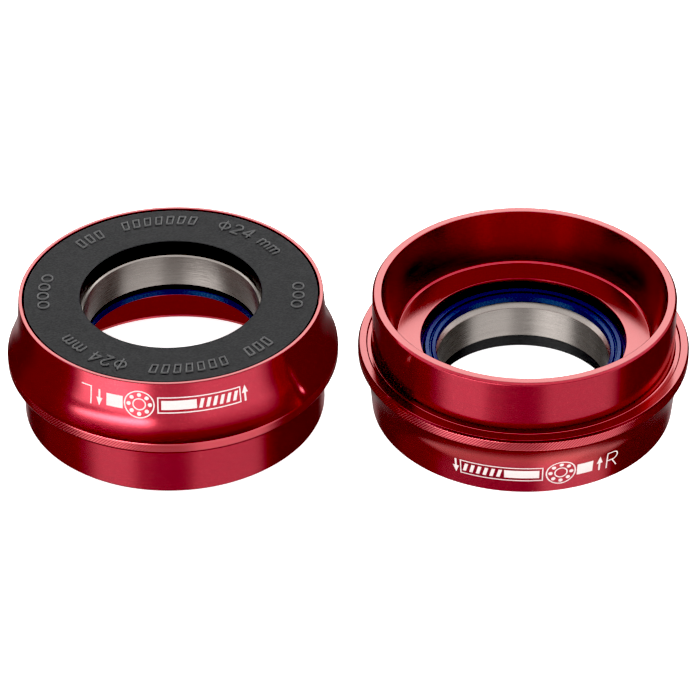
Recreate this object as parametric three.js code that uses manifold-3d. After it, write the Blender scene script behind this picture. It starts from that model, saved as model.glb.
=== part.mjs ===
// Press-fit bicycle bottom bracket for a 24 mm crank axle in a 42 mm frame shell.
// Two anodised cups stand side by side: the left one on its spigot, with its covered
// outboard face up, and the right one turned over, so that its hollow inboard side is up.
// Each cup holds a caged ball bearing, its seals, a covering cap and an inner seal ring.
// Units are millimetres, +Z is up, and the origin is on the ground between the two cups.
import * as THREE from "three";
import { mergeVertices } from "three/addons/utils/BufferGeometryUtils.js";
import Module from "manifold-3d";

const wasm = await Module();
wasm.setup();

// ---- driving dimensions (radii and heights of a cup that stands on its spigot) ----
const AXLE_R = 12.0; // crank axle that the inner race slides onto
const SHELL_R = 21.0; // bore of the frame shell that the spigot is pressed into
const HEIGHT = 18.4; // spigot end to outboard rim
const FLANGE_R = 23.0; // largest radius of the cup
const FLANGE_FACE_Z = 8.1; // inboard face of the flange, which stops against the shell
const FLARE_START_Z = 9.8; // above here the outside narrows to the outboard rim in a curve
const SPIGOT_FILLET = 0.3; // between the spigot and the flange
const RIM_R = 21.05; // outside of the outboard rim
const COVER_SEAT_R = 20.47; // inside of the outboard rim
const MOUTH_R = 19.7; // inside of the spigot at its open end
const FLOOR_R = 17.75; // inside of the spigot at the floor
const FLOOR_Z = 7.4; // outer edge of the floor
const LIP_R = 14.25; // hole in the floor
const LIP_Z = 7.7; // inner edge of the floor, which rises a little

const BEARING_R = 18.5; // outside of the bearing
const BEARING_BOTTOM_Z = 10.6;
const BEARING_WIDTH = 5.6;
const BEARING_TOP_Z = BEARING_BOTTOM_Z + BEARING_WIDTH;
const BEARING_MID_Z = BEARING_BOTTOM_Z + BEARING_WIDTH / 2;
const RACE_CHAMFER = 0.35;
const LEAD_IN = 0.7; // chamfer at the inboard end of the inner race's bore
const PITCH_R = 15.25; // circle that the ball centres lie on
const BALL_COUNT = 16;
const BALL_R = 3.175 / 2; // one-eighth inch balls
const GROOVE_R = 1.75; // ball track in both races
const INNER_RACE_R = 13.9; // shoulder of the inner race
const OUTER_RACE_R = 16.6; // shoulder of the outer race

const COVER_R = 20.15;
const COVER_BORE_R = 12.5;
const COVER_TOP_Z = 18.3;
const COVER_THICKNESS = 1.3;
const COVER_COLLAR_R = 13.7; // collar that bears on the inner race

const SEAL_GAP = 0.2; // bearing seals to both races
const SEAL_THICKNESS = 0.35;
const SEAL_INSET = 0.15;
const FIT_GAP = 0.15; // between pieces that touch on the real object

const CUP_X = 24.35; // each cup's axis stands this far to its side of the middle
const CUP_Y = 0.3; // the left cup stands this far back, the right one as far forward

const SEGMENTS = 36; // faces around each turned piece
const CAGE_SEGMENTS = 2 * BALL_COUNT;

// ---- materials ----
const material = (color, roughness, metalness) =>
  new THREE.MeshStandardMaterial({ color, roughness, metalness });
const redAnodised = material(0xa8102c, 0.32, 0.9);
const blackNylon = material(0x2b2b2d, 0.6, 0.0);
const bearingSteel = material(0xa8a29c, 0.25, 1.0);
const blackRubber = material(0x151517, 0.7, 0.0);
const blueRubber = material(0x1b3f96, 0.45, 0.0);
const cageNylon = material(0xcfc8b4, 0.55, 0.0);

// ---- turned shapes ----

// Points of an arc in a section, as [radius, height], from one angle to another in degrees.
function arc(centreR, centreZ, radius, fromDeg, toDeg, steps) {
  const points = [];
  for (let i = 0; i <= steps; i++) {
    const angle = THREE.MathUtils.degToRad(fromDeg + ((toDeg - fromDeg) * i) / steps);
    points.push([centreR + radius * Math.cos(angle), centreZ + radius * Math.sin(angle)]);
  }
  return points;
}

// A ring turned about +Z from a closed section, whose points run counterclockwise with
// the radius to the right and the height up.
function turned(section, segments = SEGMENTS) {
  const closed = [...section, section[0]].map(([r, z]) => new THREE.Vector2(r, z));
  return new THREE.LatheGeometry(closed, segments).rotateX(Math.PI / 2);
}

// A ring of plain rectangular section.
function plainRing(innerR, outerR, bottomZ, topZ, segments = SEGMENTS) {
  const section = [
    [innerR, bottomZ],
    [outerR, bottomZ],
    [outerR, topZ],
    [innerR, topZ],
  ];
  return turned(section, segments);
}

// Outside of a cup above its flange, as a parabola that ends upright at the outboard rim.
function flare(steps) {
  const points = [];
  for (let i = 0; i <= steps; i++) {
    const t = i / steps;
    points.push([
      RIM_R + (FLANGE_R - RIM_R) * (1 - t) ** 2,
      FLARE_START_Z + (HEIGHT - FLARE_START_Z) * t,
    ]);
  }
  return points;
}

function cupGeometry() {
  const filletR = SHELL_R + SPIGOT_FILLET;
  const seatR = BEARING_R + FIT_GAP;
  const shoulderZ = BEARING_BOTTOM_Z - FIT_GAP;
  const pocketR = 16.5;
  const pocketZ = 9.5;
  const edge = 0.25;
  return turned([
    [MOUTH_R, 0],
    [SHELL_R - edge, 0],
    [SHELL_R, edge],
    ...arc(filletR, FLANGE_FACE_Z - SPIGOT_FILLET, SPIGOT_FILLET, 180, 90, 3),
    [FLANGE_R - edge, FLANGE_FACE_Z],
    [FLANGE_R, FLANGE_FACE_Z + edge],
    ...flare(8),
    [COVER_SEAT_R, HEIGHT],
    [COVER_SEAT_R, BEARING_TOP_Z + 0.4],
    [seatR, BEARING_TOP_Z + 0.4],
    [seatR, shoulderZ],
    [pocketR, shoulderZ],
    [pocketR, pocketZ],
    [LIP_R, pocketZ],
    [LIP_R, LIP_Z],
    [FLOOR_R - 0.2, FLOOR_Z],
    [FLOOR_R, FLOOR_Z - 0.2],
  ]);
}

function coverGeometry() {
  const undersideZ = COVER_TOP_Z - COVER_THICKNESS;
  const edge = 0.35;
  return turned([
    [COVER_BORE_R, BEARING_TOP_Z + FIT_GAP],
    [COVER_COLLAR_R, BEARING_TOP_Z + FIT_GAP],
    [COVER_COLLAR_R, undersideZ],
    [COVER_R, undersideZ],
    [COVER_R, COVER_TOP_Z - edge],
    [COVER_R - edge, COVER_TOP_Z],
    [COVER_BORE_R + 0.15, COVER_TOP_Z],
    [COVER_BORE_R, COVER_TOP_Z - 0.15],
  ]);
}

// Half the angle that a race's shoulder takes from the ball track, in degrees.
const trackHalfAngle = (shoulderR) =>
  THREE.MathUtils.radToDeg(Math.acos(Math.abs(PITCH_R - shoulderR) / GROOVE_R));

function innerRaceGeometry() {
  const half = trackHalfAngle(INNER_RACE_R);
  return turned([
    [AXLE_R, BEARING_BOTTOM_Z + LEAD_IN],
    [AXLE_R + LEAD_IN, BEARING_BOTTOM_Z],
    [INNER_RACE_R, BEARING_BOTTOM_Z],
    ...arc(PITCH_R, BEARING_MID_Z, GROOVE_R, 180 + half, 180 - half, 4),
    [INNER_RACE_R, BEARING_TOP_Z],
    [AXLE_R + RACE_CHAMFER, BEARING_TOP_Z],
    [AXLE_R, BEARING_TOP_Z - RACE_CHAMFER],
  ]);
}

function outerRaceGeometry() {
  const half = trackHalfAngle(OUTER_RACE_R);
  return turned([
    [OUTER_RACE_R, BEARING_BOTTOM_Z],
    [BEARING_R - RACE_CHAMFER, BEARING_BOTTOM_Z],
    [BEARING_R, BEARING_BOTTOM_Z + RACE_CHAMFER],
    [BEARING_R, BEARING_TOP_Z - RACE_CHAMFER],
    [BEARING_R - RACE_CHAMFER, BEARING_TOP_Z],
    [OUTER_RACE_R, BEARING_TOP_Z],
    ...arc(PITCH_R, BEARING_MID_Z, GROOVE_R, half, -half, 4),
  ]);
}

function bearingSealGeometry(bottomZ) {
  const topZ = bottomZ + SEAL_THICKNESS;
  return plainRing(INNER_RACE_R + SEAL_GAP, OUTER_RACE_R - SEAL_GAP, bottomZ, topZ);
}

// Ring between the bearing and the floor of the cup. Its flange sits in the pocket of the
// cup, and its double lip runs on the axle and shows through the hole in the floor.
function innerSealRingGeometry() {
  const boreR = AXLE_R + 0.15;
  const flangeBottomZ = 9.65;
  const flangeTopZ = 10.3;
  return turned([
    [boreR, 9.45],
    [boreR + 0.15, 9.3],
    [12.7, 9.3],
    [12.85, 9.6],
    [13.0, 9.15],
    [13.7, 9.1],
    [13.75, flangeBottomZ],
    [16.3, flangeBottomZ],
    [16.3, flangeTopZ],
    [boreR, flangeTopZ],
  ]);
}

const ballAngle = (index) => (2 * Math.PI * index) / BALL_COUNT;

function ballGeometry(index) {
  const angle = ballAngle(index);
  return new THREE.SphereGeometry(BALL_R, 8, 6).translate(
    PITCH_R * Math.cos(angle),
    PITCH_R * Math.sin(angle),
    BEARING_MID_Z,
  );
}

// A mesh geometry as a solid that can be cut.
function solidOf(geometry) {
  const bare = geometry.clone();
  bare.deleteAttribute("normal");
  bare.deleteAttribute("uv");
  const merged = mergeVertices(bare, 1e-3);
  return new wasm.Manifold(
    new wasm.Mesh({
      numProp: 3,
      vertProperties: merged.attributes.position.array,
      triVerts: new Uint32Array(merged.index.array),
    }),
  );
}

function geometryOf(solid) {
  const mesh = solid.getMesh();
  return new THREE.BufferGeometry()
    .setAttribute("position", new THREE.BufferAttribute(mesh.vertProperties, 3))
    .setIndex(new THREE.BufferAttribute(mesh.triVerts, 1));
}

// Crown cage: a ring that the balls snap into from the outboard side.
function cageGeometry() {
  const pocketR = BALL_R + 0.2;
  const halfWidth = 0.65;
  const bottomZ = BEARING_MID_Z - pocketR - 0.35;
  const topZ = BEARING_MID_Z + 0.75;
  const ring = plainRing(PITCH_R - halfWidth, PITCH_R + halfWidth, bottomZ, topZ, CAGE_SEGMENTS);
  let cage = solidOf(ring);
  for (let i = 0; i < BALL_COUNT; i++) {
    const pocket = new THREE.SphereGeometry(pocketR, 10, 6).translate(
      PITCH_R * Math.cos(ballAngle(i)),
      PITCH_R * Math.sin(ballAngle(i)),
      BEARING_MID_Z,
    );
    cage = cage.subtract(solidOf(pocket));
  }
  return geometryOf(cage);
}

// ---- one side of the bottom bracket, standing on its spigot about the +Z axis ----
function bracketSide(side) {
  const group = new THREE.Group();
  const add = (name, geometry, finish) => {
    const mesh = new THREE.Mesh(geometry, finish);
    mesh.name = `${side}_${name}`;
    group.add(mesh);
  };
  add("cup", cupGeometry(), redAnodised);
  add("outer_cover", coverGeometry(), blackNylon);
  add("outer_race", outerRaceGeometry(), bearingSteel);
  add("inner_race", innerRaceGeometry(), bearingSteel);
  add("ball_cage", cageGeometry(), cageNylon);
  const inboardSealZ = BEARING_BOTTOM_Z + SEAL_INSET;
  const outboardSealZ = BEARING_TOP_Z - SEAL_INSET - SEAL_THICKNESS;
  add("bearing_seal_inboard", bearingSealGeometry(inboardSealZ), blackRubber);
  add("bearing_seal_outboard", bearingSealGeometry(outboardSealZ), blackRubber);
  add("inner_seal_ring", innerSealRingGeometry(), blueRubber);
  for (let i = 0; i < BALL_COUNT; i++) {
    add(`ball_${String(i + 1).padStart(2, "0")}`, ballGeometry(i), bearingSteel);
  }
  return group;
}

const leftSide = bracketSide("left");
leftSide.position.set(-CUP_X, CUP_Y, 0);

const rightSide = bracketSide("right");
rightSide.position.set(CUP_X, -CUP_Y, HEIGHT);
rightSide.rotation.x = Math.PI;

const bottomBracket = new THREE.Group();
bottomBracket.add(leftSide, rightSide);

export default bottomBracket;
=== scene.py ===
"""Looks of a press-fit bottom bracket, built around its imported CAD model.

Sections of turned pieces are lists of (radius, height, corner radius) in millimetres, for a cup
that stands on its spigot with its covered outboard face up. The right cup is turned over.
"""
import math

import bmesh
import bpy
from mathutils import Matrix, Vector


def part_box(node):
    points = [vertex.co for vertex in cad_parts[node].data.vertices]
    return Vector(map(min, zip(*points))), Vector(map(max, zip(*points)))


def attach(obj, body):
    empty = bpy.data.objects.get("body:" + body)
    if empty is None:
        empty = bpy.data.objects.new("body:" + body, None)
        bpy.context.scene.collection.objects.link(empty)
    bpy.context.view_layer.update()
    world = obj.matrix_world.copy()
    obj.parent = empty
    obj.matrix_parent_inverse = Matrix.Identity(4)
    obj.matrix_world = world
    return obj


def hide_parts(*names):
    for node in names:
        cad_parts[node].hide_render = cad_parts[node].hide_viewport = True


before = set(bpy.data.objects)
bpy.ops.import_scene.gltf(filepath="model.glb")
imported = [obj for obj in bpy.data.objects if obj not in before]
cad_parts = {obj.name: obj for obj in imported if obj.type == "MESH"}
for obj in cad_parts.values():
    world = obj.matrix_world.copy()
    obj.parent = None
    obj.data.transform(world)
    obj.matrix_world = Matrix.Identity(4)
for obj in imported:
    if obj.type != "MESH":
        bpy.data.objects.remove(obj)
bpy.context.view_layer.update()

MM = 0.001
SIDES = ("left", "right")


# ---- sizes taken from the frame, in millimetres ----


def node_box(node):
    low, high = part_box(node)
    return low / MM, high / MM


def outer_radius(node):
    low, high = node_box(node)
    return (high.x - low.x) / 2


def axis_of(side):
    low, high = node_box(f"{side}_cup")
    return (low + high) / 2


HEIGHT = node_box("left_cup")[1].z
FLANGE_R = outer_radius("left_cup")
COVER_TOP = node_box("left_outer_cover")[1].z
BEARING_R = outer_radius("left_outer_race")
BEARING_BOTTOM = node_box("left_outer_race")[0].z
BEARING_TOP = node_box("left_outer_race")[1].z
SEAL_RING_R = outer_radius("left_inner_seal_ring")
SEAL_RING_TOP = node_box("left_inner_seal_ring")[1].z

# ---- sizes that the boxes of the nodes don't hold ----

SPIGOT_R = 21.0
FACE_Z = 8.1  # inboard face of the flange
RELIEF_R = 21.8  # outer edge of the relief groove at the foot of the spigot
RELIEF_DEPTH = 0.3
RIM_TOP_Z = 9.7  # top of the flange's own cylindrical rim
OUTBOARD_R = 21.02
COVER_SEAT_R = 20.47
MOUTH_R = 19.7
FLOOR_R = 17.75
FLOOR_Z = 7.4
LIP_R = 14.25
LIP_Z = 7.7
POCKET_Z = 9.5
POCKET_R = 16.5
RACE_BORE_R = 12.0
INNER_RACE_R = 13.9
OUTER_RACE_R = 16.6
PITCH_R = 15.25
TRACK_R = 1.75
BALL_R = 3.175 / 2
BALL_COUNT = 16
COVER_BORE_R = 12.5
COVER_THICKNESS = 1.3
COLLAR_R = 13.7
FIT_GAP = 0.15  # between pieces that touch on the real object
SEAL_GAP = 0.2  # bearing seals to both races
SEAL_THICKNESS = 0.35
BEARING_MID = (BEARING_BOTTOM + BEARING_TOP) / 2

SEGMENTS = 192  # faces around each turned piece
CORNER_STEPS = 4
SUPPORT = 0.04  # length of the narrow band that keeps a flat face flat beside a round corner


# ---- turned pieces ----


def rounded(corners):
    """The outline of a closed section, with an arc in place of each corner that has a radius."""
    outline = []
    count = len(corners)
    for i, (r, z, radius) in enumerate(corners):
        here = Vector((r, z))
        if radius == 0:
            outline.append(here)
            continue
        before = (Vector(corners[i - 1][:2]) - here).normalized()
        after = (Vector(corners[(i + 1) % count][:2]) - here).normalized()
        half = before.angle(after) / 2
        reach = radius / math.tan(half)
        centre = here + (before + after).normalized() * (radius / math.sin(half))
        start = here + before * reach
        end = here + after * reach
        outline.append(start + before * SUPPORT)
        for step in range(CORNER_STEPS + 1):
            spoke = (start - centre).slerp(end - centre, step / CORNER_STEPS)
            outline.append(centre + spoke.normalized() * radius)
        outline.append(end + after * SUPPORT)
    return outline


def finished_object(name, mesh, side, material):
    """An object that stands on the axis of its side's cup, the right way up for that side."""
    piece = bpy.data.objects.new(name, mesh)
    bpy.context.scene.collection.objects.link(piece)
    axis = axis_of(side) * MM
    if side == "left":
        piece.matrix_world = Matrix.Translation((axis.x, axis.y, 0))
    else:
        turned_over = Matrix.Rotation(math.pi, 4, "X")
        piece.matrix_world = Matrix.Translation((axis.x, axis.y, HEIGHT * MM)) @ turned_over
    mesh.materials.append(material)
    return piece


def turned_mesh(name, corners, segments=SEGMENTS):
    outline = rounded(corners)
    count = len(outline)
    vertices = []
    for s in range(segments):
        angle = 2 * math.pi * s / segments
        for point in outline:
            vertices.append((
                point.x * math.cos(angle) * MM,
                point.x * math.sin(angle) * MM,
                point.y * MM,
            ))
    faces = []
    for s in range(segments):
        this_spoke = s * count
        next_spoke = ((s + 1) % segments) * count
        for i in range(count):
            j = (i + 1) % count
            faces.append((this_spoke + i, next_spoke + i, next_spoke + j, this_spoke + j))
    mesh = bpy.data.meshes.new(name)
    mesh.from_pydata(vertices, [], faces)
    mesh.shade_smooth()
    mesh.set_sharp_from_angle(angle=math.radians(35))
    mesh.validate()
    return mesh


def flare_radius(z):
    """Radius of the cup above its flange: a cone that turns smoothly into a nearly upright wall."""
    return OUTBOARD_R + 0.08 * (HEIGHT - z) + 0.37 * math.log(1 + math.exp(13.1 - z))


def flare(steps=24):
    points = []
    for i in range(1, steps):
        z = RIM_TOP_Z + (HEIGHT - RIM_TOP_Z) * i / steps
        points.append((flare_radius(z), z, 0))
    return points


def cup_section():
    lead = 0.3
    groove_floor = FACE_Z + RELIEF_DEPTH
    bevel = 0.4
    seat_r = BEARING_R + FIT_GAP
    seat_bottom = BEARING_BOTTOM - FIT_GAP
    seat_top = BEARING_TOP + 0.4
    return [
        (MOUTH_R, 0, 0.12),
        (SPIGOT_R - lead, 0, 0.08),
        (SPIGOT_R, lead, 0.2),
        (SPIGOT_R, groove_floor, 0.22),
        (RELIEF_R - 0.08, groove_floor, 0.1),
        (RELIEF_R, FACE_Z, 0.06),
        (FLANGE_R - bevel / 2, FACE_Z, 0.12),
        (FLANGE_R, FACE_Z + bevel, 0.2),
        (FLANGE_R, RIM_TOP_Z, 0.5),
        *flare(),
        (OUTBOARD_R, HEIGHT, 0.12),
        (COVER_SEAT_R, HEIGHT, 0.1),
        (COVER_SEAT_R, seat_top, 0.1),
        (seat_r, seat_top, 0.1),
        (seat_r, seat_bottom, 0.1),
        (POCKET_R, seat_bottom, 0.1),
        (POCKET_R, POCKET_Z, 0.1),
        (LIP_R, POCKET_Z, 0.08),
        (LIP_R, LIP_Z, 0.12),
        (FLOOR_R - 0.25, FLOOR_Z, 0.1),
        (FLOOR_R, FLOOR_Z - 0.25, 0.1),
    ]


def cover_section():
    collar_bottom = BEARING_TOP + FIT_GAP
    underside = COVER_TOP - COVER_THICKNESS
    rim_r = COVER_SEAT_R - FIT_GAP
    return [
        (COVER_BORE_R, collar_bottom, 0.1),
        (COLLAR_R, collar_bottom, 0.1),
        (COLLAR_R, underside, 0.1),
        (rim_r, underside, 0.15),
        (rim_r, COVER_TOP, 0.12),
        (COVER_BORE_R, COVER_TOP, 0.18),
    ]


def track(shoulder_r, side_sign, steps=10):
    """The ball track of a race, from one shoulder to the other. side_sign is -1 inside the balls."""
    half = math.acos(abs(PITCH_R - shoulder_r) / TRACK_R)
    points = []
    for i in range(steps + 1):
        angle = half * (1 - 2 * i / steps)
        r = PITCH_R + side_sign * TRACK_R * math.cos(angle)
        points.append((r, BEARING_MID + side_sign * TRACK_R * math.sin(angle), 0))
    return points


def inner_race_section():
    chamfer = 0.2
    lead_in = 0.7
    return [
        (RACE_BORE_R, BEARING_BOTTOM + lead_in, 0.1),
        (RACE_BORE_R + lead_in, BEARING_BOTTOM, 0.05),
        (INNER_RACE_R, BEARING_BOTTOM, 0.1),
        *track(INNER_RACE_R, -1),
        (INNER_RACE_R, BEARING_TOP, 0.1),
        (RACE_BORE_R + chamfer, BEARING_TOP, 0.03),
        (RACE_BORE_R, BEARING_TOP - chamfer, 0.03),
    ]


def outer_race_section():
    return [
        (OUTER_RACE_R, BEARING_BOTTOM, 0.1),
        (BEARING_R, BEARING_BOTTOM, 0.35),
        (BEARING_R, BEARING_TOP, 0.35),
        (OUTER_RACE_R, BEARING_TOP, 0.1),
        *track(OUTER_RACE_R, 1),
    ]


def bearing_seal_section(bottom):
    """A rubber seal with a shallow moulded channel between its two lips."""
    inner_r = INNER_RACE_R + SEAL_GAP
    outer_r = OUTER_RACE_R - SEAL_GAP
    top = bottom + SEAL_THICKNESS
    channel_floor = top - 0.12
    middle_r = (inner_r + outer_r) / 2
    return [
        (inner_r, bottom, 0.08),
        (outer_r, bottom, 0.08),
        (outer_r, top, 0.08),
        (middle_r + 0.45, top, 0.05),
        (middle_r + 0.3, channel_floor, 0.05),
        (middle_r - 0.3, channel_floor, 0.05),
        (middle_r - 0.45, top, 0.05),
        (inner_r, top, 0.08),
    ]


def inner_seal_section():
    """A seal ring with a raised double lip that shows through the hole in the floor of the cup."""
    bore_r = RACE_BORE_R + FIT_GAP
    flange_bottom = SEAL_RING_TOP - 0.65
    between_lips = 9.5
    return [
        (bore_r, 9.35, 0.1),
        (12.75, 9.15, 0.15),
        (12.8, between_lips, 0.05),
        (13.0, between_lips, 0.05),
        (13.05, 9.05, 0.1),
        (13.7, 9.0, 0.15),
        (13.85, flange_bottom, 0.1),
        (SEAL_RING_R, flange_bottom, 0.1),
        (SEAL_RING_R, SEAL_RING_TOP, 0.1),
        (bore_r, SEAL_RING_TOP, 0.1),
    ]


def ball_mesh(name, index):
    angle = 2 * math.pi * index / BALL_COUNT
    centre = Vector((PITCH_R * math.cos(angle), PITCH_R * math.sin(angle), BEARING_MID)) * MM
    build = bmesh.new()
    bmesh.ops.create_icosphere(build, subdivisions=4, radius=BALL_R * MM)
    bmesh.ops.translate(build, verts=build.verts, vec=centre)
    mesh = bpy.data.meshes.new(name)
    build.to_mesh(mesh)
    build.free()
    mesh.shade_smooth()
    return mesh


# ---- marks: strokes and plates laid on a turned surface ----

SUNK = 0.04  # how far a mark reaches into the surface that it stands on
ETCH = 0.012  # how far the etched marks stand off the cup
ETCH_LINE = 0.22  # width of the etched lines
RAISED = 0.25  # height of the moulded marks on the cover
RAISED_LINE = 0.2
MARK_RING_R = 17.6  # radius of the ring that the moulded marks stand on
MARK_Z = 15.1  # height of the middle of the etched marks


def cover_place(angle_deg, ring_r):
    """Where a mark's point goes on the top of the cover. Tops of the marks point outwards."""

    def place(u, v, lift):
        angle = math.radians(angle_deg) - u / ring_r
        r = ring_r + v
        return Vector((r * math.cos(angle), r * math.sin(angle), COVER_TOP + lift))

    return place


def wall_place(angle_deg, middle_z):
    """Where a mark's point goes on the outside of the cup. Marks read with the spigot up."""

    def place(u, v, lift):
        z = middle_z - v
        r = flare_radius(z) + lift
        angle = math.radians(angle_deg) - u / OUTBOARD_R
        return Vector((r * math.cos(angle), r * math.sin(angle), z))

    return place


def resampled(points, step):
    out = [Vector(points[0])]
    for start, end in zip(points, points[1:]):
        start = Vector(start)
        end = Vector(end)
        pieces = max(1, math.ceil((end - start).length / step))
        for i in range(1, pieces + 1):
            out.append(start.lerp(end, i / pieces))
    return out


def stroke(build, place, points, width, height, step=0.35):
    """A ridge of round section along a line, on the surface that place() lays it on."""
    line = resampled(points, step)
    closed = (line[0] - line[-1]).length < 1e-6
    if closed:
        line.pop()
    count = len(line)
    shoulder = height * 0.7
    profile = [(-0.5, -SUNK), (-0.38, shoulder), (0, height), (0.38, shoulder), (0.5, -SUNK)]
    rows = []
    for i, point in enumerate(line):
        before = line[i - 1] if (i > 0 or closed) else point
        after = line[(i + 1) % count] if (i < count - 1 or closed) else point
        along_in = (point - before).normalized() if point != before else (after - point).normalized()
        along_out = (after - point).normalized() if after != point else along_in
        along = (along_in + along_out).normalized()
        mitre = 1 / max(0.5, along.dot(along_out))
        across = Vector((along.y, -along.x)) * width * mitre
        rows.append([
            build.verts.new(place(point.x + across.x * s, point.y + across.y * s, lift) * MM)
            for s, lift in profile
        ])
    size = len(profile)
    spans = count if closed else count - 1
    for i in range(spans):
        this_row = rows[i]
        next_row = rows[(i + 1) % count]
        for j in range(size):
            k = (j + 1) % size
            build.faces.new((this_row[j], this_row[k], next_row[k], next_row[j]))
    if not closed:
        build.faces.new(rows[0][::-1])
        build.faces.new(rows[-1])


def arc_points(x, y, radius, start_deg, end_deg, steps=16, squash=1.0):
    points = []
    for i in range(steps + 1):
        angle = math.radians(start_deg + (end_deg - start_deg) * i / steps)
        points.append((x + radius * squash * math.cos(angle), y + radius * math.sin(angle)))
    return points


# Letters and signs as lines in a cell 1 high. Each entry is (width of the cell, list of lines).
GLYPHS = {
    "L": (0.55, [[(0, 1), (0, 0), (0.55, 0)]]),
    "R": (0.62, [
        [(0, 0), (0, 1), (0.34, 1), *arc_points(0.34, 0.74, 0.26, 90, -90, 8), (0, 0.48)],
        [(0.3, 0.48), (0.6, 0)],
    ]),
    "2": (0.58, [[*arc_points(0.28, 0.71, 0.28, 170, -35, 10), (0, 0), (0.58, 0)]]),
    "4": (0.62, [[(0.46, 0), (0.46, 1), (0, 0.3), (0.62, 0.3)]]),
    "m": (0.78, [
        [(0, 0), (0, 0.66)],
        [(0, 0.42), *arc_points(0.19, 0.47, 0.19, 180, 0, 8), (0.38, 0)],
        [(0.38, 0.42), *arc_points(0.57, 0.47, 0.19, 180, 0, 8), (0.76, 0)],
    ]),
    "diameter": (0.8, [
        arc_points(0.4, 0.5, 0.34, 0, 360, 24, 1.1),
        [(0.4, -0.08), (0.4, 1.08)],
    ]),
    " ": (0.3, []),
}


def write_line(build, place, signs, height, width, lift, gap=0.28):
    """A row of signs centred on the place's own middle."""
    total = sum(GLYPHS[sign][0] for sign in signs) + gap * (len(signs) - 1)
    x = -total / 2
    for sign in signs:
        cell, lines = GLYPHS[sign]
        for line in lines:
            points = [((x + px) * height, (py - 0.5) * height) for px, py in line]
            stroke(build, place, points, width, lift)
        x += cell + gap


def plate(build, place, outline, lift, step=0.3):
    """A thin filled mark with a straight-sided outline that has no inward corners."""
    edge = resampled([*outline, outline[0]], step)[:-1]
    middle = sum(edge, Vector((0, 0))) / len(edge)
    rings = []
    for share in (1.0, 0.66, 0.33):
        rings.append([build.verts.new(place(*(middle + (p - middle) * share), lift) * MM) for p in edge])
    foot = [build.verts.new(place(*p, -SUNK) * MM) for p in edge]
    top = build.verts.new(place(*middle, lift) * MM)
    bottom = build.verts.new(place(*middle, -SUNK) * MM)
    count = len(edge)
    for i in range(count):
        j = (i + 1) % count
        build.faces.new((foot[i], foot[j], rings[0][j], rings[0][i]))
        build.faces.new((rings[0][i], rings[0][j], rings[1][j], rings[1][i]))
        build.faces.new((rings[1][i], rings[1][j], rings[2][j], rings[2][i]))
        build.faces.new((rings[2][i], rings[2][j], top))
        build.faces.new((foot[j], foot[i], bottom))


def box_outline(x, y, width, height, lean=0.0):
    return [
        (x - width / 2 - lean, y - height / 2),
        (x + width / 2 - lean, y - height / 2),
        (x + width / 2 + lean, y + height / 2),
        (x - width / 2 + lean, y + height / 2),
    ]


def marks_mesh(name, build):
    bmesh.ops.recalc_face_normals(build, faces=build.faces)
    mesh = bpy.data.meshes.new(name)
    build.to_mesh(mesh)
    build.free()
    mesh.shade_smooth()
    mesh.set_sharp_from_angle(angle=math.radians(50))
    return mesh


def arrow(build, place, x, height, up):
    tip = up * height / 2
    plate(build, place, [(x - 0.45, tip * 0.05), (x + 0.45, tip * 0.05), (x, tip)], ETCH)
    plate(build, place, box_outline(x, -tip * 0.45, 0.26, height * 0.52), ETCH)


def bearing_badge(build, place, x, radius):
    """A plain bearing sign: two rings with balls between them."""
    stroke(build, place, arc_points(x, 0, radius, 0, 360, 32), ETCH_LINE, ETCH)
    stroke(build, place, arc_points(x, 0, radius * 0.42, 0, 360, 24), ETCH_LINE, ETCH)
    for i in range(8):
        angle = math.radians(45 * i)
        centre_x = x + radius * 0.72 * math.cos(angle)
        centre_y = radius * 0.72 * math.sin(angle)
        plate(build, place, arc_points(centre_x, centre_y, radius * 0.15, 0, 324, 9), ETCH)


def bar_plaque(build, place, x, width, height):
    """A plain plaque: a frame that holds a row of leaning bars, with one half filled."""
    line = 0.2
    frame_points = box_outline(x, 0, width, height)
    stroke(build, place, [*frame_points, frame_points[0]], line, ETCH)
    bars = 6
    pitch = width / (2 * bars)
    for i in range(bars):
        bar_x = x - width / 2 + pitch * (i + 0.75)
        plate(build, place, box_outline(bar_x, 0, pitch * 0.5, height * 0.6, 0.18), ETCH)
    plate(build, place, box_outline(x + width / 4, 0, width / 2 - 0.9, height * 0.6), ETCH)


def cup_marks(side):
    """Etched marks on the front of a cup, which read upright on the cup that stands spigot up."""
    build = bmesh.new()
    front = -89 if side == "left" else 89
    place = wall_place(front, MARK_Z)
    arrow(build, place, -10.4, 2.5, -1)
    bar_plaque(build, place, -4.1, 11.2, 2.3)
    bearing_badge(build, place, 4.0, 2.0)
    plate(build, place, box_outline(7.4, 0, 2.3, 1.9), ETCH)
    arrow(build, place, 9.6, 2.5, 1)
    letter_place = wall_place(front - math.degrees(11.6 / OUTBOARD_R), MARK_Z)
    write_line(build, letter_place, ["L" if side == "left" else "R"], 2.7, ETCH_LINE, ETCH)
    return marks_mesh(f"{side}_etched_marks", build)


def bar_row(build, angle, span):
    """Plain bars along a stretch of the cover, in place of wording."""
    pitch = 1.6
    bars = round(math.radians(span) * MARK_RING_R / pitch)
    place = cover_place(angle, MARK_RING_R)
    for i in range(bars):
        x = (i - (bars - 1) / 2) * pitch
        outline = box_outline(x, 0, 0.8, 1.7, 0.12)
        stroke(build, place, [*outline, outline[0]], RAISED_LINE, RAISED)


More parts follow.
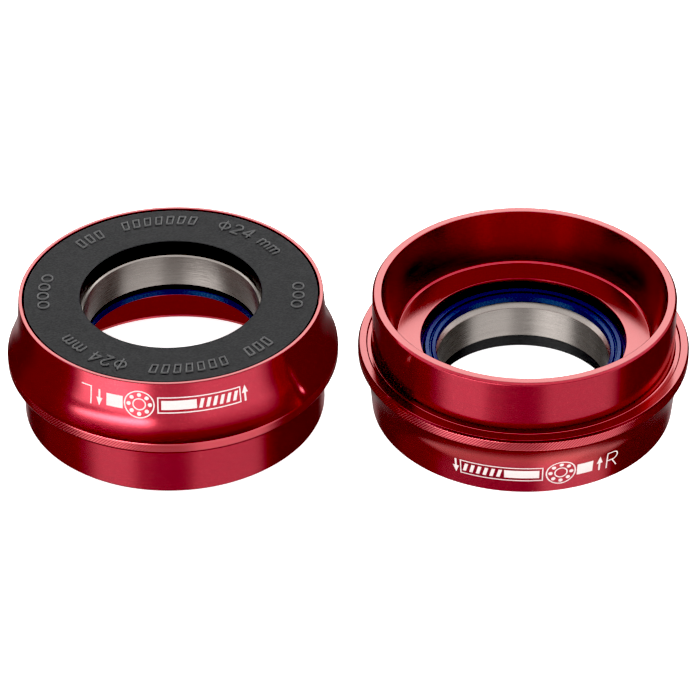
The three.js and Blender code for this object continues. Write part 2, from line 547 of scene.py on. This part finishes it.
def cover_marks(side):
    """Raised marks on the cover: the axle size twice, and plain bars and rings for the rest."""
    build = bmesh.new()
    for angle in (51, -126):
        place = cover_place(angle, MARK_RING_R)
        write_line(build, place, ["diameter", "2", "4", " ", "m", "m"], 2.1, RAISED_LINE, RAISED)
    for angle, span in ((97.5, 36), (132, 18), (-80, 36), (-46, 18)):
        bar_row(build, angle, span)
    for angle, count in ((178.5, 4), (-2.5, 3)):
        place = cover_place(angle, MARK_RING_R)
        for i in range(count):
            x = (i - (count - 1) / 2) * 2.1
            stroke(build, place, arc_points(x, 0, 0.75, 0, 360, 20), RAISED_LINE, RAISED)
    return marks_mesh(f"{side}_cover_marks", build)


# ---- materials ----


class Nodes:
    """Short ways to add nodes to a material, as expressions."""

    def __init__(self, name):
        self.material = bpy.data.materials.new(name)
        self.material.use_nodes = True
        self.tree = self.material.node_tree
        self.shader = self.tree.nodes["Principled BSDF"]

    def put(self, socket, value):
        if isinstance(value, bpy.types.NodeSocket):
            self.tree.links.new(value, socket)
        else:
            socket.default_value = value

    def math(self, operation, a, b=0.0, c=0.0):
        node = self.tree.nodes.new("ShaderNodeMath")
        node.operation = operation
        for socket, value in zip(node.inputs, (a, b, c)):
            self.put(socket, value)
        return node.outputs[0]

    def vector(self, x, y, z):
        node = self.tree.nodes.new("ShaderNodeCombineXYZ")
        for socket, value in zip(node.inputs, (x, y, z)):
            self.put(socket, value)
        return node.outputs[0]

    def noise(self, vector, detail=2.0, roughness=0.5, w=None):
        node = self.tree.nodes.new("ShaderNodeTexNoise")
        if w is not None:
            node.noise_dimensions = "4D"
            self.put(node.inputs["W"], w)
        self.put(node.inputs["Vector"], vector)
        self.put(node.inputs["Scale"], 1.0)
        self.put(node.inputs["Detail"], detail)
        self.put(node.inputs["Roughness"], roughness)
        return node.outputs["Fac"]

    def ramp(self, value, low, high, to_low=0.0, to_high=1.0):
        node = self.tree.nodes.new("ShaderNodeMapRange")
        node.interpolation_type = "SMOOTHSTEP"
        for socket, number in zip(node.inputs, (value, low, high, to_low, to_high)):
            self.put(socket, number)
        return node.outputs[0]

    def mix_colour(self, factor, a, b):
        node = self.tree.nodes.new("ShaderNodeMix")
        node.data_type = "RGBA"
        self.put(node.inputs[0], factor)
        self.put(node.inputs[6], a)
        self.put(node.inputs[7], b)
        return node.outputs[2]

    def bump(self, height, strength, distance):
        node = self.tree.nodes.new("ShaderNodeBump")
        self.put(node.inputs["Strength"], strength)
        self.put(node.inputs["Distance"], distance)
        self.put(node.inputs["Height"], height)
        self.put(self.shader.inputs["Normal"], node.outputs["Normal"])

    def coordinate(self, kind):
        return self.tree.nodes.new("ShaderNodeTexCoord").outputs[kind]

    def split(self, vector):
        node = self.tree.nodes.new("ShaderNodeSeparateXYZ")
        self.put(node.inputs[0], vector)
        return node.outputs

    def position(self):
        """Place on the piece in millimetres. The piece's own axis is at x = y = 0."""
        return [self.math("DIVIDE", part, MM) for part in self.split(self.coordinate("Object"))]

    def distance(self, x, y):
        squares = self.math("ADD", self.math("MULTIPLY", x, x), self.math("MULTIPLY", y, y))
        return self.math("SQRT", squares)

    def blend(self, a, b, share):
        """A sum with share of a and the rest of b."""
        return self.math("ADD", self.math("MULTIPLY", a, share), self.math("MULTIPLY", b, 1 - share))

    def cloud(self, size, detail):
        """Noise with blobs about size millimetres wide."""
        scaled = self.tree.nodes.new("ShaderNodeVectorMath")
        scaled.operation = "SCALE"
        self.put(scaled.inputs[0], self.coordinate("Object"))
        self.put(scaled.inputs["Scale"], 1 / (size * MM))
        return self.noise(scaled.outputs[0], detail)

    def own_normal_z(self):
        """How far the surface faces along the piece's own axis."""
        return self.split(self.coordinate("Normal"))[2]

    def rings(self, pitch, drift, detail=2.0):
        """Noise in rings around the axis, pitch wide, that drifts slowly along each ring."""
        x, y, z = self.position()
        vector = self.vector(
            self.math("DIVIDE", self.distance(x, y), pitch),
            self.math("DIVIDE", z, pitch),
            self.math("DIVIDE", x, drift),
        )
        return self.noise(vector, detail, 0.6, self.math("DIVIDE", y, drift))

    def set(self, **values):
        for key, value in values.items():
            self.put(self.shader.inputs[key.replace("_", " ")], value)


def scored_rim(n):
    """A wave of slanting scored lines around the axis, and where the rim that bears them is."""
    pitch = 0.46
    lines_around = 314
    x, y, z = n.position()
    turns = n.math("MULTIPLY", n.math("ARCTAN2", y, x), lines_around)
    climb = n.math("MULTIPLY", z, 2 * math.pi / pitch)
    wave = n.math("SINE", n.math("SUBTRACT", turns, climb))
    on_rim = n.ramp(n.distance(x, y), FLANGE_R - 0.1, FLANGE_R - 0.03)
    return wave, on_rim


def anodised_red():
    """Clear red finish over turned aluminium, darker on the turned end faces."""
    n = Nodes("red_anodised_aluminium")
    fine = n.rings(0.11, 16.0)
    broad = n.rings(0.9, 22.0)
    mottle = n.cloud(0.7, 5.0)
    sparkle = n.ramp(n.cloud(0.16, 1.0), 0.60, 0.74)
    hatch, on_rim = scored_rim(n)
    on_face = n.ramp(n.math("ABSOLUTE", n.own_normal_z()), 0.7, 0.95)
    shade = n.blend(fine, mottle, 0.5)
    glint = (0.60, 0.07, 0.08, 1)
    # The scored lines on the flange rim are real; their lighter pink is painted highlight that the lines
    # catch.
    score_line_highlight = (0.54, 0.09, 0.10, 1)
    end_face = (0.21, 0.0025, 0.008, 1)
    wall = n.mix_colour(shade, (0.235, 0.001, 0.014, 1), (0.365, 0.003, 0.022, 1))
    wall = n.mix_colour(n.math("MULTIPLY", sparkle, 0.3), wall, glint)
    # Painted highlight along the scored lines of the rim.
    scored = n.math("MULTIPLY", on_rim, n.ramp(hatch, -0.3, 0.3, 0.0, 1.0))
    wall = n.mix_colour(scored, wall, score_line_highlight)
    colour = n.mix_colour(on_face, wall, end_face)
    roughness = n.ramp(n.math("ADD", fine, n.math("MULTIPLY", broad, 0.6)), 0.5, 1.1, 0.14, 0.20)
    n.set(Base_Color=colour, Metallic=0.94, Roughness=roughness, Specular_Tint=(0.6, 0.05, 0.06, 1))
    coat = n.math("ADD", 0.45, n.math("MULTIPLY", on_face, 0.5))
    n.set(Coat_Weight=coat, Coat_Roughness=0.15, Coat_IOR=1.8)
    height = n.math("ADD", fine, n.math("MULTIPLY", n.math("MULTIPLY", hatch, on_rim), 1.5))
    n.bump(height, 0.2, 0.004 * MM)
    return n.material


def black_nylon(name, dark, light):
    n = Nodes(name)
    grain = n.cloud(0.28, 5.0)
    flow = n.cloud(4.0, 2.0)
    shade = n.blend(grain, flow, 0.6)
    n.set(Base_Color=n.mix_colour(shade, dark, light), Roughness=n.ramp(grain, 0.3, 0.7, 0.38, 0.55))
    n.set(Specular_IOR_Level=0.26)
    n.bump(grain, 0.6, 0.05 * MM)
    return n.material


def bearing_steel():
    n = Nodes("ground_bearing_steel")
    streaks = n.rings(0.05, 3.0, 3.0)
    broad = n.rings(0.5, 10.0)
    shade = n.blend(streaks, broad, 0.65)
    colour = n.mix_colour(shade, (0.17, 0.153, 0.14, 1), (0.38, 0.345, 0.322, 1))
    n.set(Base_Color=colour, Metallic=1.0, Roughness=n.ramp(streaks, 0.3, 0.75, 0.22, 0.40))
    n.set(Anisotropic=0.6, Anisotropic_Rotation=0.25)
    n.bump(streaks, 0.3, 0.004 * MM)
    return n.material


def rubber(name, dark, light, roughness, tint, gloss):
    n = Nodes(name)
    grain = n.cloud(0.22, 3.0)
    lines = n.rings(0.12, 12.0)
    shade = n.blend(grain, lines, 0.5)
    colour = n.mix_colour(shade, dark, light)
    n.set(Base_Color=colour, Roughness=n.ramp(grain, 0.3, 0.7, roughness - 0.06, roughness + 0.08))
    n.set(Specular_Tint=tint, Specular_IOR_Level=gloss)
    n.bump(shade, 0.3, 0.015 * MM)
    return n.material


def cage_nylon():
    n = Nodes("natural_cage_nylon")
    grain = n.cloud(0.3, 4.0)
    colour = n.mix_colour(grain, (0.50, 0.46, 0.35, 1), (0.68, 0.63, 0.50, 1))
    n.set(Base_Color=colour, Roughness=n.ramp(grain, 0.3, 0.7, 0.40, 0.55))
    n.bump(grain, 0.3, 0.02 * MM)
    return n.material


def etched_aluminium():
    n = Nodes("etched_aluminium")
    speckle = n.cloud(0.09, 3.0)
    colour = n.mix_colour(speckle, (0.45, 0.38, 0.37, 1), (0.78, 0.70, 0.68, 1))
    n.set(Base_Color=colour, Metallic=0.0, Roughness=0.7, Specular_IOR_Level=0.3)
    n.bump(speckle, 0.4, 0.01 * MM)
    return n.material


RED = anodised_red()
NYLON = black_nylon("black_moulded_nylon", (0.005, 0.005, 0.0055, 1), (0.014, 0.014, 0.0145, 1))
# The moulded marks are the same black nylon as the cover; their lighter grey is painted highlight.
MARK_NYLON_PAINTED_HIGHLIGHT = black_nylon("black_nylon_painted_highlight", (0.08, 0.08, 0.081, 1), (0.17, 0.17, 0.17, 1))
STEEL = bearing_steel()
BLACK_RUBBER = rubber(
    "black_seal_rubber",
    dark=(0.012, 0.012, 0.013, 1),
    light=(0.03, 0.03, 0.032, 1),
    roughness=0.55,
    tint=(1, 1, 1, 1),
    gloss=0.4,
)
BLUE_RUBBER = rubber(
    "blue_seal_rubber",
    dark=(0.001, 0.003, 0.028, 1),
    light=(0.002, 0.008, 0.06, 1),
    roughness=0.25,
    tint=(0.2, 0.45, 1, 1),
    gloss=0.55,
)
CAGE = cage_nylon()
ETCHED = etched_aluminium()


# ---- the pieces of one side ----


def add_piece(side, name, mesh, material, body, node=None):
    """A piece that rides a body, and stands for a CAD node if it is given one."""
    piece = finished_object(f"{side}_{name}", mesh, side, material)
    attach(piece, body)
    if node:
        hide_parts(f"{side}_{node}")


def add_turned(side, name, node, corners, material, body):
    mesh = turned_mesh(f"{side}_{name}", corners)
    add_piece(side, name, mesh, material, body, node)


def add_bearing_seal(side, where):
    node = f"bearing_seal_{where}"
    low, high = node_box(f"{side}_{node}")
    bottom = low.z if side == "left" else HEIGHT - high.z
    corners = bearing_seal_section(bottom)
    add_turned(side, f"{where}_seal", node, corners, BLACK_RUBBER, "cups")


def add_balls(side):
    for i in range(BALL_COUNT):
        number = f"{i + 1:02d}"
        name = f"bearing_ball_{number}"
        mesh = ball_mesh(f"{side}_{name}", i)
        add_piece(side, name, mesh, STEEL, f"{side}_ball_set", f"ball_{number}")


def build_side(side):
    rotor = f"{side}_rotor"
    add_turned(side, "cup_body", "cup", cup_section(), RED, "cups")
    add_turned(side, "cover_cap", "outer_cover", cover_section(), NYLON, rotor)
    add_turned(side, "inner_ring", "inner_race", inner_race_section(), STEEL, rotor)
    add_turned(side, "outer_ring", "outer_race", outer_race_section(), STEEL, "cups")
    add_bearing_seal(side, "inboard")
    add_bearing_seal(side, "outboard")
    lips = inner_seal_section()
    add_turned(side, "lip_seal", "inner_seal_ring", lips, BLUE_RUBBER, "cups")
    add_balls(side)
    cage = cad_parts[f"{side}_ball_cage"]
    cage.data.materials.clear()
    cage.data.materials.append(CAGE)
    add_piece(side, "etched_marks", cup_marks(side), ETCHED, "cups")
    # The cover marks take the nylon with painted highlight.
    add_piece(side, "cover_marks", cover_marks(side), MARK_NYLON_PAINTED_HIGHLIGHT, rotor)


for side in SIDES:
    build_side(side)


# ---- stage, light and camera ----


def white_floor():
    n = Nodes("white_floor")
    grain = n.noise(n.coordinate("Object"), 2.0)
    colour = n.mix_colour(grain, (0.88, 0.88, 0.88, 1), (0.92, 0.92, 0.92, 1))
    n.set(Base_Color=colour, Roughness=0.9, Emission_Color=(1, 1, 1, 1), Emission_Strength=0.9)
    return n.material


def build_floor():
    half = 2.0
    mesh = bpy.data.meshes.new("floor")
    corners = [(-half, -half, 0), (half, -half, 0), (half, half, 0), (-half, half, 0)]
    mesh.from_pydata(corners, [], [(0, 1, 2, 3)])
    floor = bpy.data.objects.new("floor", mesh)
    bpy.context.scene.collection.objects.link(floor)
    mesh.materials.append(white_floor())
    floor.visible_glossy = False


def add_reflected_card(name, mesh, brightness):
    """A plain card that only shows in reflections."""
    n = Nodes(name)
    n.set(Base_Color=(0, 0, 0, 1), Roughness=1.0, Emission_Color=(1, 1, 1, 1))
    n.set(Emission_Strength=brightness)
    mesh.materials.append(n.material)
    card = bpy.data.objects.new(name, mesh)
    bpy.context.scene.collection.objects.link(card)
    card.visible_camera = False
    card.visible_diffuse = False
    card.visible_shadow = False
    card.visible_transmission = False
    return card


def add_shade_ring():
    """The shaded table under the floor of the left cup."""
    corners = [(14.5, 0.05, 0), (19.4, 0.05, 0), (19.4, 0.1, 0), (14.5, 0.1, 0)]
    axis = axis_of("left") * MM
    card = add_reflected_card("shade_ring", turned_mesh("shade_ring", corners), 0.42)
    card.location = (axis.x, axis.y, 0)


def add_divider():
    """A dim card that keeps each cup out of the other one's reflections."""
    corners = [(0, -14, 0.5), (0, 14, 0.5), (0, 14, 22), (0, -14, 22)]
    mesh = bpy.data.meshes.new("divider")
    mesh.from_pydata([Vector(corner) * MM for corner in corners], [], [(0, 1, 2, 3)])
    add_reflected_card("divider", mesh, 0.22)


def add_small_lamp():
    """A small lamp between the cups, which glints on the left one."""
    place = Matrix.Translation(Vector((-0.5, -12.4, 10.65)) * MM)
    facing_left = place @ Matrix.Rotation(math.pi / 2, 4, "Y")
    build = bmesh.new()
    bmesh.ops.create_circle(build, cap_ends=True, segments=24, radius=0.2 * MM, matrix=facing_left)
    mesh = bpy.data.meshes.new("small_lamp")
    build.to_mesh(mesh)
    build.free()
    add_reflected_card("small_lamp", mesh, 14.0)


class WorldNodes(Nodes):
    """The same short ways, for the world's shader."""

    def __init__(self, name):
        self.world = bpy.data.worlds.new(name)
        self.world.use_nodes = True
        self.tree = self.world.node_tree
        self.shader = self.tree.nodes["Background"]

    def between(self, rising, low, falling, high, soft):
        """1 where rising is above low and falling is below high, with soft edges."""
        rise = self.ramp(rising, low - soft, low + soft)
        fall = self.ramp(falling, high - soft, high + soft, 1.0, 0.0)
        return self.math("MULTIPLY", rise, fall)


def lit_table(n, x, forward, z, elevation):
    """The lit table close to the object, outside the object's own shadow, brighter at the right."""
    down = n.math("MAXIMUM", n.math("MULTIPLY", z, -1.0), 0.01)
    table_x = n.math("DIVIDE", x, down)
    table_y = n.math("DIVIDE", forward, down)
    spread = n.math("MULTIPLY", n.math("MULTIPLY", table_x, table_x), 1.4)
    unshaded = n.ramp(n.math("ADD", table_y, spread), 0.07, 0.23)
    near = n.math("MULTIPLY", unshaded, n.ramp(elevation, -61, -55, 1.0, 0.0))
    right_part = n.math("MULTIPLY", near, n.between(table_x, 0.12, table_x, 0.42, 0.08))
    return n.math("ADD", n.math("MULTIPLY", near, 1.05), n.math("MULTIPLY", right_part, 0.8))


def build_studio_light():
    """Soft light panels around the object, as a pattern over directions.

    Azimuth is 0 in front of the object and grows to the right; elevation is 0 at the horizon.
    """
    n = WorldNodes("studio")
    x, y, z = n.split(n.coordinate("Generated"))
    forward = n.math("MULTIPLY", y, -1.0)
    azimuth = n.math("DEGREES", n.math("ARCTAN2", x, forward))
    aside = n.math("ABSOLUTE", azimuth)
    elevation = n.math("DEGREES", n.math("ARCSINE", z))

    # Height above a plane whose far edge is straight and stands 8 degrees up straight ahead.
    ahead = n.math("MAXIMUM", n.math("COSINE", n.math("RADIANS", azimuth)), 0.0)
    level = n.math("SUBTRACT", elevation, n.math("MULTIPLY", ahead, 8.0))

    panels = [
        # across, its limits, (bottom as elevation, top as level), softness, strength
        (azimuth, (-72, 74), (-58, -2.5), (14, 2), 0.5),  # pale table in front
        (azimuth, (-44, 72), (-33, -2.5), (14, 2), 0.6),  # its far part
        (aside, (0, 200), (-90, -2), (4, 5), 0.14),  # the rest of the table, in shade
        (azimuth, (-118, -66), (-56, 0), (7, 3), 0.16),  # its left part
        (azimuth, (14, 72), (-58, -11), (7, 6), 0.6),  # light on the table, right
        (azimuth, (14, 78), (-60, -48), (6, 3), 0.25),  # its nearer part
        (azimuth, (-64, -30), (-43, -31), (7, 4), 0.75),  # light on the table, left
        (azimuth, (-68, -16), (-33, -19), (6, 3), 2.6),  # low light box, left
        (azimuth, (-66, -14), (-6.5, -7.5), (6, 2), 12.0),  # strip light above it
        (azimuth, (-125, 125), (34, 80), (15, 8), 1.7),  # ceiling
        (aside, (58, 130), (8, 34), (10, 5), 1.2),  # walls at both sides
        (aside, (105, 200), (26, 47), (12, 4), 3.3),  # soft box behind and above
        (aside, (154, 172), (-41, 0), (5, 3), 0.3),  # gap behind the object
    ]
    ambient = 0.04
    total = n.math("ADD", ambient, lit_table(n, x, forward, z, elevation))
    for across, (left, right), (bottom, top), (soft_across, soft_up), strength in panels:
        width = n.between(across, left, across, right, soft_across)
        height = n.between(elevation, bottom, level, top, soft_up)
        panel = n.math("MULTIPLY", n.math("MULTIPLY", width, height), strength)
        total = n.math("ADD", total, panel)

    # The camera itself sees a plain white wall behind the table.
    rays = n.tree.nodes.new("ShaderNodeLightPath")
    total = n.math("MAXIMUM", total, rays.outputs["Is Camera Ray"])
    n.put(n.shader.inputs["Strength"], total)
    n.put(n.shader.inputs["Color"], (1, 1, 1, 1))
    n.world.cycles.sampling_method = "NONE"
    bpy.context.scene.world = n.world


def add_soft_box(name, place, size, power):
    light = bpy.data.lights.new(name, "AREA")
    light.shape = "SQUARE"
    light.size = size
    light.energy = power
    lamp = bpy.data.objects.new(name, light)
    lamp.location = place
    lamp.rotation_euler = (-Vector(place)).to_track_quat("-Z", "Y").to_euler()
    lamp.visible_glossy = False
    bpy.context.scene.collection.objects.link(lamp)


def build_camera():
    """Camera at the viewing angle, aimed at a point on the ground between the cups."""
    elevation = math.radians(36.45)
    roll = math.radians(0.44)
    distance = 547.6
    aim = Vector((0.265, 11.53, 0.04))
    right = Vector((1, 0, 0))
    up = Vector((0, math.sin(elevation), math.cos(elevation)))
    back = Vector((0, -math.cos(elevation), math.sin(elevation)))
    rolled_right = math.cos(roll) * right - math.sin(roll) * up
    rolled_up = math.sin(roll) * right + math.cos(roll) * up
    turn = Matrix((rolled_right, rolled_up, back)).transposed().to_4x4()
    data = bpy.data.cameras.new("camera")
    data.lens = 196.96
    data.sensor_width = 36.0
    data.clip_start = 0.01
    data.clip_end = 20.0
    camera = bpy.data.objects.new("camera", data)
    camera.matrix_world = Matrix.Translation((aim + back * distance) * MM) @ turn
    bpy.context.scene.collection.objects.link(camera)
    bpy.context.scene.camera = camera


def set_display():
    """A plain display curve with slightly deepened blacks, as in a studio catalogue picture."""
    view = bpy.context.scene.view_settings
    view.view_transform = "Standard"
    view.use_curve_mapping = True
    view.curve_mapping.black_level = (0.03, 0.03, 0.03)
    view.curve_mapping.update()


build_floor()
add_shade_ring()
add_divider()
add_small_lamp()
build_studio_light()
add_soft_box("top_light", (0.0, 0.1, 0.6), 0.5, 4.0)
build_camera()
set_display()
